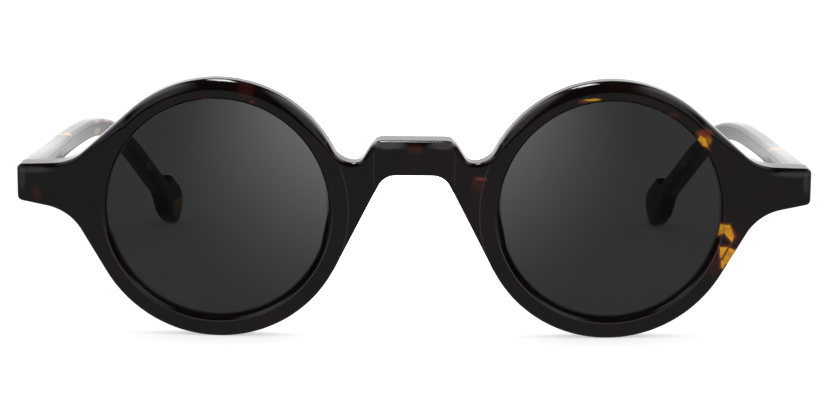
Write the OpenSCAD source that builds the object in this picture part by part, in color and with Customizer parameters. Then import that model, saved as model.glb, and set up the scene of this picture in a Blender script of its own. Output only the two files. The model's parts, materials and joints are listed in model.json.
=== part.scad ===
// Round acetate sunglasses, standing open on the rims and the temple tips.
// +X is the wearer's left, +Y runs back along the temples, +Z is up.
// The origin is the middle of the footprint on the table.

/* [Front] */
// Width over both end pieces
front_w = 140; // [134:1:150]
// Distance between the two lens centres
lens_spacing = 69.2; // [67:0.2:72]
// Outer radius of a rim
rim_r = 23.1; // [22:0.1:24]
// Width of a rim, from its outer edge to the lens opening
rim_w = 3.4; // [3.2:0.1:5]
// Thickness of a rim, front to back
rim_t = 4.4; // [4:0.2:6]
// Radius that the polishing leaves on the rim edges
edge_round = 1; // [0.4:0.1:1.4]
// Sideways turn of each rim plane, for the face curve
wrap_angle = 4; // [2:0.5:8]
// Lean of the front, top towards the viewer
tilt_angle = 5; // [0:0.5:10]
// Depth of the lens centres behind the bridge face
rim_setback = 1.6; // [1.2:0.1:2.4]

/* [Lenses] */
// Thickness of a lens
lens_t = 1.8; // [1.6:0.1:2.2]
// Radius of the lens curve
lens_curve_r = 260; // [120:10:600]
// Depth of the lens rim line behind the rim face
lens_setback = 0.8; // [0.5:0.05:1.2]
// Width of the bevel round the lens opening
bezel_w = 0.5; // [0.4:0.1:1.4]
// Depth of that bevel
bezel_depth = 0.65; // [0.3:0.05:0.7]
// Width of the relief at the back of the opening
relief_w = 0.7; // [0.3:0.1:1]
// Depth of that relief
relief_depth = 1.6; // [1:0.1:1.8]
// Depth of the V groove that holds the lens
groove_depth = 0.6; // [0.4:0.1:0.8]
// Width of the V groove at its mouth
groove_w = 1.2; // [1:0.1:1.4]
// Clearance between the lens and its seat
lens_gap = 0.04; // [0.02:0.01:0.1]

/* [Bridge] */
// Width of the bridge bar along its top
bar_w = 13.9; // [12:0.2:16]
// Height of the bar's top above the lens centres
bar_top = 12.8; // [11:0.1:14]
// Height of the bar
bar_h = 6.2; // [5:0.1:7]
// Thickness of the bar
bar_t = 5.4; // [4.6:0.1:6.4]
// How far the bar stands out of the web's face
bar_proud = 0.2; // [0.1:0.05:0.4]
// Slope of the bar's shoulders
shoulder_angle = 58; // [50:1:70]
// Height of the valley between the bar and a rim
valley_top = 8.8; // [7:0.1:9.8]
// Thickness of the web beside the bar
web_t = 4.2; // [3:0.1:4.3]
// Flare of the nose edges from the vertical
nose_angle = 27; // [20:1:30]
// Corner radius at the bar's top ends
bar_corner = 1.2; // [0.4:0.1:1.6]
// Radius of a valley beside the bar
valley_round = 2; // [1:0.2:2.6]
// Radius of a valley where it runs into the rim
valley_turn = 3.8; // [2:0.2:4.2]
// Radius under the bar, beside the nose
under_round = 3.4; // [1:0.1:4]

/* [End pieces] */
// Height of an end piece at its end
lug_h = 6.4; // [5.6:0.1:7]
// Height of its top above the lens centres
lug_top = 7.3; // [6.6:0.1:9]
// Thickness of an end piece
lug_t = 4.6; // [4:0.1:6]
// Place on the rim where the upper edge leaves it
lug_leave_upper = 48; // [44:1:54]
// Place on the rim where the lower edge leaves it
lug_leave_lower = 30.5; // [24:0.5:38]
// Fall of the upper edge towards the end
lug_fall = 2.5; // [0:0.5:5]
// Rise of the lower edge towards the end
lug_rise = 11; // [8:0.1:16]
// Corner radius at the end's top
lug_end_top = 0.8; // [0.6:0.1:2]
// Corner radius at the end's bottom
lug_end_bottom = 1; // [0.6:0.1:2.4]
// Radius of the upper edge's turn towards the rim
lug_turn_upper = 9; // [2:0.5:10]
// Radius of the lower edge's turn towards the rim
lug_turn_lower = 9; // [4:0.5:9]

/* [Nose pads] */
// Height of a nose pad
pad_h = 12; // [9:0.5:14]
// How far a pad stands behind the rim
pad_reach = 4.6; // [3:0.2:6]
// Width of a pad's foot on the rim
pad_w = 3.6; // [3:0.2:4]
// Outward lean of a pad's ridge
pad_splay = 1.6; // [0.6:0.2:2.4]
// Width of a pad's ridge
pad_ridge_w = 2.6; // [2:0.1:3]
// Distance of the pads' middle below the lens centres
pad_drop = 4.6; // [2:0.2:7]

/* [Temples] */
// Length of a temple along its middle
temple_len = 139; // [135:1:150]
// Height of a temple at the hinge
temple_root_h = 6.3; // [5.6:0.1:7]
// Height of a temple at its middle
temple_mid_h = 3.6; // [3.2:0.1:5]
// Thickness of a temple at the hinge
temple_root_t = 4; // [3.6:0.1:4.6]
// Thickness of a temple past the hinge
temple_t = 3.5; // [3.2:0.1:4]
// Step from the front's side to the temple's outer face
temple_inset = 0.2; // [0:0.1:0.6]
// Inward turn of a temple over its length
bow_angle = 17; // [6:1:18]
// Where the inward turn begins
bow_start = 18; // [10:1:30]
// Length of the inward turn
bow_run = 120; // [100:1:130]
// Where the ear bend begins
bend_start = 64; // [55:1:75]
// Length of the ear bend
bend_run = 53; // [40:1:60]
// Length of the paddle at the tip
tip_len = 13; // [9:0.1:14]
// Rise of the round bump on the paddle
tip_bump = 2.5; // [1:0.1:3]
// Drop of the paddle's lower edge
tip_drop = 2.7; // [1:0.1:3.4]
// Width and height of the metal core inside a temple
core_w = 1.3; // [1:0.1:1.4]
// Length of temple left without a core at the tip
core_short = 15; // [12:1:30]

/* [Hinges] */
// Distance of the hinge axis from the front's side
hinge_inset = 6.2; // [6.1:0.1:6.6]
// Distance of the hinge axis behind the end piece
hinge_setback = 2; // [1.8:0.1:2.6]
// Outer radius of a barrel
barrel_r = 1.25; // [1.15:0.05:1.4]
// Height of one barrel
barrel_h = 0.9; // [0.8:0.05:0.95]
// Gap between two barrels
barrel_gap = 0.05; // [0.03:0.01:0.08]
// Radius of the screw's shank
screw_r = 0.7; // [0.6:0.05:0.8]
// Radius of the screw's head
head_r = 1.1; // [1:0.05:1.2]
// Height of the screw's head
head_h = 0.5; // [0.4:0.05:0.7]
// Thickness of a hinge leaf
leaf_t = 1; // [0.8:0.1:1.2]
// Length of the temple's hinge leaf
leaf_len = 8; // [6:0.5:10]
// Width of the front's hinge leaf
leaf_w = 3.8; // [3:0.1:4.4]
// Depth of the anchor behind each leaf
anchor_depth = 0.8; // [0.5:0.1:1]
// Rim of leaf plate that is left round an anchor
anchor_margin = 0.8; // [0.6:0.1:1]
// Radial clearance of the screw in the turning barrels
run_gap = 0.03; // [0.02:0.01:0.08]
// Clearance of parts that are set in the acetate
set_gap = 0.03; // [0.02:0.01:0.06]
// Gap between an open temple and the end piece
joint_gap = 0.15; // [0.1:0.05:0.3]

/* [Hidden] */

acetate = "#241c1a";
lens_tint = "#3c3d3f";
metal = "#b9bbbe";
core_metal = "#9a9da1";

LEFT = 1;
RIGHT = -1;
barrels = 5;
corner_steps = 8;
round_steps = 4;
lens_steps = 10;
section_sides = 16;
core_sides = 8;
body_stations = 30;
tip_stations = 14;
solve_steps = 24;
overlap = 0.1;
rim_fn = 144;
pin_fn = 48;
pad_fn = 24;
ridge_share = 0.65;
far = 40;

lens_x = lens_spacing / 2;
lens_r = rim_r - rim_w;
lug_mid = lug_top - lug_h / 2;
lug_reach = (front_w / 2 - lens_x) / cos(wrap_angle);
rim_z = rim_r * cos(tilt_angle) - (rim_setback + edge_round) * sin(tilt_angle)
    + edge_round * (1 - cos(tilt_angle));

// The hinge axis, found from the back face of the end piece
axis_x = front_w / 2 - hinge_inset;
axis_u = (axis_x - lens_x + lug_t * sin(wrap_angle)) / cos(wrap_angle);
lug_back = (rim_setback + axis_u * sin(wrap_angle) + lug_t * cos(wrap_angle)) * cos(tilt_angle)
    - lug_mid * sin(tilt_angle);
axis_y = lug_back + hinge_setback;
hinge_z = rim_z + lug_mid * cos(tilt_angle) + lug_back * sin(tilt_angle);
barrel_pitch = barrel_h + barrel_gap;
stack_h = barrels * barrel_pitch - barrel_gap;
knuckle_share = 0.8;
knuckle_w = 2 * barrel_r * knuckle_share;
slot_w = 0.3;

// A temple's middle line, from its front end
root_x = front_w / 2 - temple_inset - temple_root_t / 2;
root_lead = 2;
root_y = lug_back - root_lead;
inner_face_x = root_x - temple_root_t / 2;
root_blend = 45;
tip_start = temple_len - tip_len;
bump_run = 2.6;
drop_run = 7;
drop_lead = 2;
end_round = 6.5;
end_least = 0.14;
section_power = 0.5;
core_lead = 1.5;

function smooth(t) = let (c = min(1, max(0, t))) c * c * (3 - 2 * c);
function unit(v) = v / norm(v);
function signed_power(v, p) = sign(v) * pow(abs(v), p);

// Outline through corner points [x, z, radius], each corner an arc
function arc_corner(a, b, c, r) =
    let (
        u = unit(a - b),
        w = unit(c - b),
        half = acos(u * w) / 2,
        middle = b + unit(u + w) * r / sin(half),
        from = b + u * r / tan(half) - middle,
        to = b + w * r / tan(half) - middle,
        start = atan2(from.y, from.x),
        turn = atan2(from.x * to.y - from.y * to.x, from * to)
    )
    [for (i = [0:corner_steps]) middle + polar(r, start + turn * i / corner_steps)];
function flat(p) = [p.x, p.y];
function outline(corners) = [
    for (i = [0:len(corners) - 1])
        let (
            n = len(corners),
            before = flat(corners[(i + n - 1) % n]),
            here = flat(corners[i]),
            after = flat(corners[(i + 1) % n])
        )
        each corners[i].z > 0 ? arc_corner(before, here, after, corners[i].z) : [here]];

// Where the line at distance d along a normal angle meets a line of given slope through p
function tangent_meets(d, angle, p, slope) =
    let (x = (d - (p.y - p.x * tan(slope)) * sin(angle)) / (cos(angle) + tan(slope) * sin(angle)))
    [x, p.y + (x - p.x) * tan(slope)];
function polar(r, angle) = [r * cos(angle), r * sin(angle)];

// Direction, height and thickness of a temple at distance s along it
function bow_at(s) = bow_angle * smooth((s - bow_start) / bow_run);
function bend_at(s, bend) = bend * smooth((s - bend_start) / bend_run);
function inward(s) = [-sin(bow_at(s)), cos(bow_at(s)), 0];
function along(s, bend) = inward(s) * cos(bend_at(s, bend)) - [0, 0, sin(bend_at(s, bend))];
function upward(s, bend) = inward(s) * sin(bend_at(s, bend)) + [0, 0, cos(bend_at(s, bend))];
function outward(s) = [cos(bow_at(s)), sin(bow_at(s)), 0];
function end_share(s) = max(end_least, sqrt(1 - pow(max(0, (s - temple_len + end_round) / end_round), 2)));
function tapered(root, arm, s) = root + (arm - root) * smooth(s / root_blend);
function half_h(s) = tapered(temple_root_h, temple_mid_h, s) / 2;
function half_t(s) = tapered(temple_root_t, temple_t, s) / 2 * end_share(s);
function upper_h(s) = (half_h(s) + tip_bump * smooth((s - tip_start) / bump_run)) * end_share(s);
function lower_h(s) =
    (half_h(s) + tip_drop * smooth((s - tip_start + drop_lead) / drop_run)) * end_share(s);

// Stations are even along the arm and crowd together at the rounded tip
station_gap = tip_start / body_stations;
stations = concat(
    [for (i = [0:body_stations]) station_gap * i],
    [for (i = [1:tip_stations]) tip_start + tip_len * sin(90 * i / tip_stations)]);
function middle_line(bend) = [
    for (i = 0, p = [0, 0, 0]; i < len(stations);
        p = p + (i + 1 < len(stations)
            ? along((stations[i] + stations[i + 1]) / 2, bend) * (stations[i + 1] - stations[i])
            : [0, 0, 0]),
        i = i + 1) p];
function arm_ring(s, p, bend) = [
    for (k = [0:section_sides - 1])
        let (
            a = 360 * (k + 0.5) / section_sides,
            across = signed_power(cos(a), section_power) * half_t(s),
            rise = signed_power(sin(a), section_power) * (sin(a) > 0 ? upper_h(s) : lower_h(s))
        )
        p + outward(s) * across + upward(s, bend) * rise];
function arm_rings(bend) =
    let (line = middle_line(bend)) [for (i = [0:len(stations) - 1]) arm_ring(stations[i], line[i], bend)];
function lowest(bend) = min([for (ring = arm_rings(bend)) for (p = ring) p.z]);

// The ear bend that brings the tip down to the table
function solve_bend(low, high, n) =
    let (middle = (low + high) / 2)
    n == 0 ? middle
    : lowest(middle) + hinge_z > 0 ? solve_bend(middle, high, n - 1)
    : solve_bend(low, middle, n - 1);
ear_bend = solve_bend(5, 60, solve_steps);
temple_rings = arm_rings(ear_bend);
temple_line = middle_line(ear_bend);

front_y = -bar_proud * cos(tilt_angle) - bar_top * sin(tilt_angle);
back_y = root_y + max([for (ring = temple_rings) for (p = ring) p.y]);
centre_y = (front_y + back_y) / 2;

// A closed skin over rings that all have the same number of points
module skin(rings) {
    n = len(rings[0]);
    last = len(rings) - 1;
    polyhedron(
        [for (ring = rings) for (p = ring) p],
        concat(
            [[for (k = [n - 1:-1:0]) k]],
            [for (i = [0:last - 1]) for (k = [0:n - 1]) each [
                [i * n + k, (i + 1) * n + (k + 1) % n, (i + 1) * n + k],
                [i * n + k, i * n + (k + 1) % n, (i + 1) * n + (k + 1) % n]]],
            [[for (k = [0:n - 1]) last * n + k]]));
}

module on_table() translate([0, -centre_y, 0]) children();
module on_side(side) mirror([side == LEFT ? 0 : 1, 0, 0]) children();
module on_front() translate([0, 0, rim_z]) rotate([tilt_angle, 0, 0]) children();
module on_rim() translate([lens_x, rim_setback, 0]) rotate([0, 0, wrap_angle]) children();
module plate(points, y, t) translate([0, y + t, 0]) rotate([90, 0, 0]) linear_extrude(t) polygon(points);
module turned(points) rotate([-90, 0, 0]) rotate_extrude($fn = rim_fn) polygon(points);
module block(low, high) translate(low) cube(high - low);

// One rim before its opening is cut, with rounded edges
module rim_disc() {
    round_arc = [for (i = [0:round_steps]) polar(edge_round, 90 * i / round_steps)];
    flat_r = rim_r - edge_round;
    turned(concat(
        [[0, 0]],
        [for (i = [round_steps:-1:0]) [flat_r + round_arc[i].x, edge_round - round_arc[i].y]],
        [for (p = round_arc) [flat_r + p.x, rim_t - edge_round + p.y]],
        [[0, rim_t]]));
}

// The opening of one rim: bevel, straight wall, V groove and relief
module lens_seat() {
    groove_y = lens_setback + lens_t / 2;
    relief_y = rim_t - relief_depth;
    turned([
        [0, -far], [lens_r + bezel_w * (1 + overlap / bezel_depth), -far],
        [lens_r + bezel_w * (1 + overlap / bezel_depth), -overlap], [lens_r, bezel_depth],
        [lens_r, groove_y - groove_w / 2], [lens_r + groove_depth, groove_y],
        [lens_r, groove_y + groove_w / 2], [lens_r, relief_y],
        [lens_r + relief_w * (1 + overlap / relief_depth), rim_t + overlap],
        [lens_r + relief_w * (1 + overlap / relief_depth), far], [0, far]]);
}

// The end piece beside one rim, in the rim's own plane
module end_piece() {
    bite = rim_r - overlap;
    top = [lug_reach, lug_top];
    bottom = [lug_reach, lug_top - lug_h];
    upper = tangent_meets(bite, lug_leave_upper, top, -lug_fall);
    lower = tangent_meets(bite, -lug_leave_lower, bottom, lug_rise);
    inside = lens_r + relief_w + 3 * overlap;
    lug = outline([
        concat(polar(inside, lug_leave_upper), 0), concat(polar(bite, lug_leave_upper), 0),
        concat(upper, lug_turn_upper), concat(top, lug_end_top),
        concat(bottom, lug_end_bottom), concat(lower, lug_turn_lower),
        concat(polar(bite, -lug_leave_lower), 0), concat(polar(inside, -lug_leave_lower), 0)]);
    plate(lug, 0, lug_t);
}

// The web and the raised bar between the rims
module bridge() {
    bite = rim_r - overlap;
    under = bar_top - bar_h;
    valley_x = bar_w / 2 + (bar_top - valley_top) / tan(shoulder_angle);
    under_x = lens_x - (bite + under * sin(nose_angle)) / cos(nose_angle);
    leave = [lens_x, 0] - polar(bite, nose_angle);
    room = lens_x - valley_x - valley_round * tan(shoulder_angle / 2) - overlap;
    fitting = (pow(room, 2) - pow(bite, 2) + pow(valley_top, 2)) / (bite - valley_top) / 2;
    turn_r = max(0.3, min(valley_turn, fitting));
    turn_up = valley_top + turn_r;
    turn_reach = sqrt(pow(bite + turn_r, 2) - pow(turn_up, 2));
    turn_end = atan2(turn_up, turn_reach);
    turn_step = (90 - turn_end) / round_steps;
    run_in = [for (i = [0:round_steps])
        concat([lens_x - turn_reach, turn_up] + polar(turn_r, -90 + i * turn_step), 0)];
    hidden = [lens_x, 0] + polar(rim_r - 2 * edge_round, 180 - turn_end);
    inside = [lens_x, 0] - polar(lens_r + relief_w + 3 * overlap, nose_angle);
    web_half = concat(
        [[bar_w / 2, bar_top, bar_corner], [valley_x, valley_top, valley_round]], run_in,
        [concat(hidden, 0), [inside.x, 0, 0], [inside.x, inside.y, 0], [leave.x, leave.y, 0],
        [under_x, under, under_round]]);
    bar_half = [[bar_w / 2, bar_top, bar_corner], [bar_w / 2, under, bar_corner]];
    plate(outline(both_halves(web_half)), 0, web_t);
    intersection() {
        plate(outline(both_halves(bar_half)), -bar_proud, bar_t);
        plate(outline(both_halves(web_half)), -far, 2 * far);
    }
}
function both_halves(half) =
    concat(half, [for (i = [len(half) - 1:-1:0]) [-half[i].x, half[i].y, half[i].z]]);

module front_frame() color(acetate) on_table() difference() {
    on_front() difference() {
        union() {
            bridge();
            for (side = [LEFT, RIGHT]) on_side(side) on_rim() {
                rim_disc();
                end_piece();
            }
        }
        for (side = [LEFT, RIGHT]) on_side(side) on_rim() lens_seat();
    }
    for (side = [LEFT, RIGHT]) on_side(side) front_leaf_root(set_gap);
}

// A tinted lens, ground to a V edge that sits in the rim's groove
module lens(side) color(lens_tint) on_table() on_front() on_side(side) on_rim() {
    r = lens_r - lens_gap;
    vee_r = lens_r + groove_depth - lens_gap;
    groove_y = lens_setback + lens_t / 2;
    back_r = lens_curve_r - lens_t;
    front_arc = [for (i = [0:lens_steps]) let (q = r * i / lens_steps)
        [q, lens_setback - (sqrt(pow(lens_curve_r, 2) - q * q) - sqrt(pow(lens_curve_r, 2) - r * r))]];
    back_arc = [for (i = [lens_steps:-1:0]) let (q = r * i / lens_steps)
        [q, lens_setback + lens_t - (sqrt(pow(back_r, 2) - q * q) - sqrt(pow(back_r, 2) - r * r))]];
    vee_half = groove_w / 2 - lens_gap;
    vee = [[r, groove_y - vee_half], [vee_r, groove_y], [r, groove_y + vee_half]];
    turned(concat(front_arc, vee, back_arc));
}

// A polished pad bonded on the back of the rim, beside the nose
module nose_pad(side) color(acetate) on_table() on_front() on_side(side) on_rim() difference() {
    foot_r = rim_r - pad_w / 2;
    ridge_r = pad_ridge_w / 2;
    middle = 180 + asin(pad_drop / foot_r);
    foot_turn = asin((pad_h / 2 - pad_w / 2) / foot_r);
    hull() for (end = [-1, 1]) {
        foot = polar(foot_r, middle + end * foot_turn);
        ridge = polar(foot_r - pad_splay, middle + end * foot_turn * ridge_share);
        translate([foot.x, rim_t, foot.y]) sphere(pad_w / 2, $fn = pad_fn);
        translate([ridge.x, rim_t + pad_reach - ridge_r, ridge.y]) sphere(ridge_r, $fn = pad_fn);
    }
    block([-far, -far, -far], [far, rim_t + set_gap, far]);
}

// Plate and anchor of the front's hinge leaf, which the end piece holds
module front_leaf_root(grow) {
    low = [axis_x + barrel_r - leaf_w, lug_back - leaf_t / 2, hinge_z - stack_h / 2];
    high = [axis_x + barrel_r, lug_back + leaf_t / 2, hinge_z + stack_h / 2];
    margin = [anchor_margin, 0, anchor_margin];
    gap = [grow, 0, grow];
    block(low - gap - [0, grow, 0], high + gap);
    block(low + margin - gap - [0, anchor_depth + grow, 0], high - margin + gap);
}

// Plate and anchor of the temple's hinge leaf, which the temple holds
module temple_leaf_root(grow) {
    low = [inner_face_x - leaf_t / 2, axis_y - barrel_r, barrel_z(1)];
    high = [inner_face_x + leaf_t / 2, axis_y - barrel_r + leaf_len, barrel_z(barrels - 2) + barrel_h];
    margin = [0, 2 * anchor_margin, anchor_margin];
    gap = [0, grow, grow];
    block(low - gap, high + gap + [grow, 0, 0]);
    block(low + margin - gap, high - margin + gap + [anchor_depth / 2 + grow, 0, 0]);
}

function barrel_z(i) = hinge_z - stack_h / 2 + i * barrel_pitch;
module barrel_at(i) translate([axis_x, axis_y, barrel_z(i)]) children();
module hinge_bore(r) translate([axis_x, axis_y, hinge_z - far]) cylinder(r = r, h = 2 * far, $fn = pin_fn);

module hinge_front_leaf(side) color(metal) on_table() on_side(side) difference() {
    union() {
        front_leaf_root(0);
        for (i = [0:2:barrels - 1]) barrel_at(i) {
            cylinder(r = barrel_r, h = barrel_h, $fn = pin_fn);
            block([-knuckle_w / 2, lug_back - axis_y, 0], [knuckle_w / 2, 0, barrel_h]);
        }
    }
    hinge_bore(screw_r + set_gap / 2);
}

module hinge_temple_leaf(side) color(metal) on_table() on_side(side) difference() {
    union() {
        temple_leaf_root(0);
        for (i = [1:2:barrels - 2]) barrel_at(i) {
            cylinder(r = barrel_r, h = barrel_h, $fn = pin_fn);
            block([0, -knuckle_w / 2, 0], [inner_face_x - axis_x, knuckle_w / 2, barrel_h]);
        }
    }
    hinge_bore(screw_r + run_gap);
}

module hinge_screw(side) color(metal) on_table() on_side(side) barrel_at(0) difference() {
    union() {
        cylinder(r = screw_r, h = stack_h + head_h / 2, $fn = pin_fn);
        translate([0, 0, stack_h + set_gap]) cylinder(r = head_r, h = head_h, $fn = pin_fn);
    }
    block([-far, -slot_w / 2, stack_h + head_h / 2], [far, slot_w / 2, far]);
}

// Everything in front of the joint, which an open temple leaves free
module front_side() on_front() on_rim() block([0, -far, -far], [2 * far, lug_t + joint_gap, far]);

// A run of the temple's middle line with a plain section, for the core and its channel
module core_run(half, from, to) {
    picks = [for (i = [0:len(stations) - 1]) if (stations[i] >= from && stations[i] <= to) i];
    skin([for (i = picks) [for (k = [0:core_sides - 1])
        let (a = 360 * (k + 0.5) / core_sides, s = stations[i])
        [root_x, root_y, hinge_z] + temple_line[i]
            + (outward(s) * cos(a) + upward(s, ear_bend) * sin(a)) * half / cos(180 / core_sides)]]);
}

module temple(side) color(acetate) on_table() on_side(side) difference() {
    translate([root_x, root_y, hinge_z]) skin(temple_rings);
    front_side();
    temple_leaf_root(set_gap);
    core_run(core_w / 2 + set_gap, 0, temple_len - core_short);
}

module temple_core(side) color(core_metal) on_table() on_side(side)
    core_run(core_w / 2, core_lead * station_gap, temple_len - core_short - station_gap);

front_frame();
lens(LEFT);  // lens_left
lens(RIGHT);  // lens_right
nose_pad(LEFT);  // nose_pad_left
nose_pad(RIGHT);  // nose_pad_right
hinge_front_leaf(LEFT);  // hinge_front_leaf_left
hinge_front_leaf(RIGHT);  // hinge_front_leaf_right
hinge_screw(LEFT);  // hinge_screw_left
hinge_screw(RIGHT);  // hinge_screw_right
temple(LEFT);  // temple_left
temple(RIGHT);  // temple_right
temple_core(LEFT);  // temple_core_left
temple_core(RIGHT);  // temple_core_right
hinge_temple_leaf(LEFT);  // hinge_temple_leaf_left
hinge_temple_leaf(RIGHT);  // hinge_temple_leaf_right
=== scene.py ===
import json
from math import asin, cos, hypot, pi, radians, sin, sqrt

import bpy
import numpy as np
from mathutils import Matrix, Vector


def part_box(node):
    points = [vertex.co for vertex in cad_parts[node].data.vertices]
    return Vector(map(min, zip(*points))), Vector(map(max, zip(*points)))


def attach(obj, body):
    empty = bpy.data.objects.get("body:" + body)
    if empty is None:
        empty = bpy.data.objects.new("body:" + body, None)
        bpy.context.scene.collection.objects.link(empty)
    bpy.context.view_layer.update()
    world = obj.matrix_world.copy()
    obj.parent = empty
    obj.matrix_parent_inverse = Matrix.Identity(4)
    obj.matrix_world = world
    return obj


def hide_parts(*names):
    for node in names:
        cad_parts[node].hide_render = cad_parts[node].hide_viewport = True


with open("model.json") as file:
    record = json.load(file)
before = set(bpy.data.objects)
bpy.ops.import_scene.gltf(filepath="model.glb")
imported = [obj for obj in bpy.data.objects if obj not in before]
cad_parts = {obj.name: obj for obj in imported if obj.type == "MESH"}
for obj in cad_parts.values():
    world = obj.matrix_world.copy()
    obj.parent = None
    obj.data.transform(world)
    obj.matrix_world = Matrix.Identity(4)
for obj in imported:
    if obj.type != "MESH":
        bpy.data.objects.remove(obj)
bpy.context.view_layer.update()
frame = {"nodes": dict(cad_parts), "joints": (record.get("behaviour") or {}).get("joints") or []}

# The camera looks at the middle of the front from half a metre away and a little above,
# as a product photographer sets it, with a long lens and almost no roll.
MM = 0.001
FRONT_LOW, FRONT_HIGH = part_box("front_frame")
VIEW_DISTANCE = 550 * MM
VIEW_HEIGHT = radians(8.6)
VIEW_ROLL = radians(0.37)
VIEW_SETBACK = 1.3 * MM
VIEW_RISE = 0.75 * MM
FOCAL_LENGTH = 136.6
SENSOR_WIDTH = 36

look_at = Vector((0, FRONT_LOW.y + VIEW_SETBACK, (FRONT_LOW.z + FRONT_HIGH.z) / 2 + VIEW_RISE))
camera_data = bpy.data.cameras.new("camera")
camera_data.sensor_width = SENSOR_WIDTH
camera_data.lens = FOCAL_LENGTH
camera_data.clip_start = 0.01
camera_data.clip_end = 20
camera = bpy.data.objects.new("camera", camera_data)
bpy.context.scene.collection.objects.link(camera)
camera.location = look_at + VIEW_DISTANCE * Vector((0, -cos(VIEW_HEIGHT), sin(VIEW_HEIGHT)))
view_turn = Matrix.Rotation(pi / 2 - VIEW_HEIGHT, 3, "X") @ Matrix.Rotation(VIEW_ROLL, 3, "Z")
camera.rotation_euler = view_turn.to_euler()
bpy.context.scene.camera = camera


# The front is one plate of dark tortoiseshell acetate. Two round rims, the web and bar between
# them and the two end pieces are milled from it, and barrel polishing rounds every edge.
# Its shape is the set of points that lie inside these curves, in millimetres, before it is tilted.
LENS_SPACING = 69.2
RIM_RADIUS = 23.1
RIM_DEPTH = 4.4
RIM_SETBACK = 1.6
WRAP = radians(4)
TILT = radians(5)
OPENING_RADIUS = 19.7
BEVEL_WIDTH = 0.5
BEVEL_DEPTH = 0.65
BEVEL_ROUND = 0.15
RELIEF_WIDTH = 0.7
RELIEF_DEPTH = 1.6
# The roll of the edges, which grows towards the top over ROUNDER_OVER. The CAD's front rests on
# its own roll, so the height of the rims follows from that one.
EDGE_ROUND = 0.7
TOP_EDGE_ROUND = 2.0
BAR_TOP_ROUND = 1.3
BACK_ROUND = 0.3
ROUNDER_OVER = 7.5
CAD_EDGE_ROUND = 1.0
# The bar and the web that joins it to the rims
BAR_HALF_WIDTH = 6.95
BAR_TOP = 12.8
BAR_HEIGHT = 6.2
BAR_DEPTH = 5.4
BAR_PROUD = 0.2
BAR_END_ROUND = 0.3
BAR_CORNER = 2.6
SHOULDER = radians(58)
VALLEY_TOP = 8.8
VALLEY_ROUND = 2.0
VALLEY_TURN = 3.8
WEB_DEPTH = 4.2
WEB_OVERLAP = 2.0
NOSE_FLARE = radians(27)
UNDER_ROUND = 3.4
CREASE_FILLET = 0.15
# The end pieces
FRONT_WIDTH = 140.0
END_HEIGHT = 6.4
END_TOP = 7.3
END_DEPTH = 4.6
END_FALL = radians(2.5)
END_RISE = radians(11)
LEAVE_UPPER = radians(48)
LEAVE_LOWER = radians(30.5)
TURN_UPPER = 9.0
TURN_LOWER = 9.0
END_CORNER_TOP = 0.8
END_CORNER_BOTTOM = 1.0

lens_x = LENS_SPACING / 2
end_reach = (FRONT_WIDTH / 2 - lens_x) / cos(WRAP)
front_y = FRONT_LOW.y / MM + BAR_PROUD * cos(TILT) + BAR_TOP * sin(TILT)
front_z = (FRONT_LOW.z / MM + RIM_RADIUS * cos(TILT)
           - (RIM_SETBACK + CAD_EDGE_ROUND) * sin(TILT) + CAD_EDGE_ROUND * (1 - cos(TILT)))
front_to_row = Matrix.Translation((0, front_y * MM, front_z * MM)) @ Matrix.Rotation(TILT, 4, "X")


def either(a, b, fillet, cosine=0.0):
    """Distance to two shapes joined by a hollow fillet, from the cosine between their normals"""
    p, q = fillet - a, fillet - b
    reach = np.sqrt(np.maximum(p * p + q * q - 2 * cosine * p * q, 0) / (1 - cosine ** 2))
    turning = (p > cosine * q) & (q > cosine * p)
    return np.where(turning, fillet - reach, np.minimum(a, b))


def both(a, b, rounding, cosine=0.0):
    """Distance to what two shapes share, with its edge rounded"""
    return -either(-a, -b, rounding, cosine)


def plate(outline, front, back, height, top_round=TOP_EDGE_ROUND):
    """A plate of that outline between two faces, with edges polished rounder towards the top"""
    rise = np.clip((height - VALLEY_TOP) / ROUNDER_OVER, 0, 1)
    edge = EDGE_ROUND + (top_round - EDGE_ROUND) * rise * rise * (3 - 2 * rise)
    return np.maximum(both(outline, front, edge), both(outline, back, BACK_ROUND))


def side_of(x, z, angle, distance):
    """Distance beyond the line whose normal has that angle"""
    return x * cos(angle) + z * sin(angle) - distance


def rim_and_end_piece(u, y, v):
    """Distance to one rim with its end piece, in the rim's own plane, and the radius there"""
    radius = np.hypot(u, v)
    upper = side_of(u - end_reach, v - END_TOP, pi / 2 - END_FALL, 0)
    lower = side_of(u - end_reach, v - END_TOP + END_HEIGHT, END_RISE - pi / 2, 0)
    above = either(upper, side_of(u, v, LEAVE_UPPER, RIM_RADIUS), TURN_UPPER, sin(END_FALL + LEAVE_UPPER))
    below = either(lower, side_of(u, v, -LEAVE_LOWER, RIM_RADIUS), TURN_LOWER, sin(END_RISE + LEAVE_LOWER))
    end = u - end_reach
    tongue = np.maximum(both(above, end, END_CORNER_TOP, sin(END_FALL)),
                        both(below, end, END_CORNER_BOTTOM, sin(END_RISE)))
    chord_angle = (LEAVE_UPPER - LEAVE_LOWER) / 2
    chord = RIM_RADIUS * cos((LEAVE_UPPER + LEAVE_LOWER) / 2)
    tongue = np.maximum(tongue, -side_of(u, v, chord_angle, chord))
    outline = np.minimum(radius - RIM_RADIUS, tongue)
    depth = RIM_DEPTH + (END_DEPTH - RIM_DEPTH) * np.clip((u - RIM_RADIUS) / RIM_DEPTH, 0, 1)
    return plate(outline, -y, y - depth, v), radius


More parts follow.
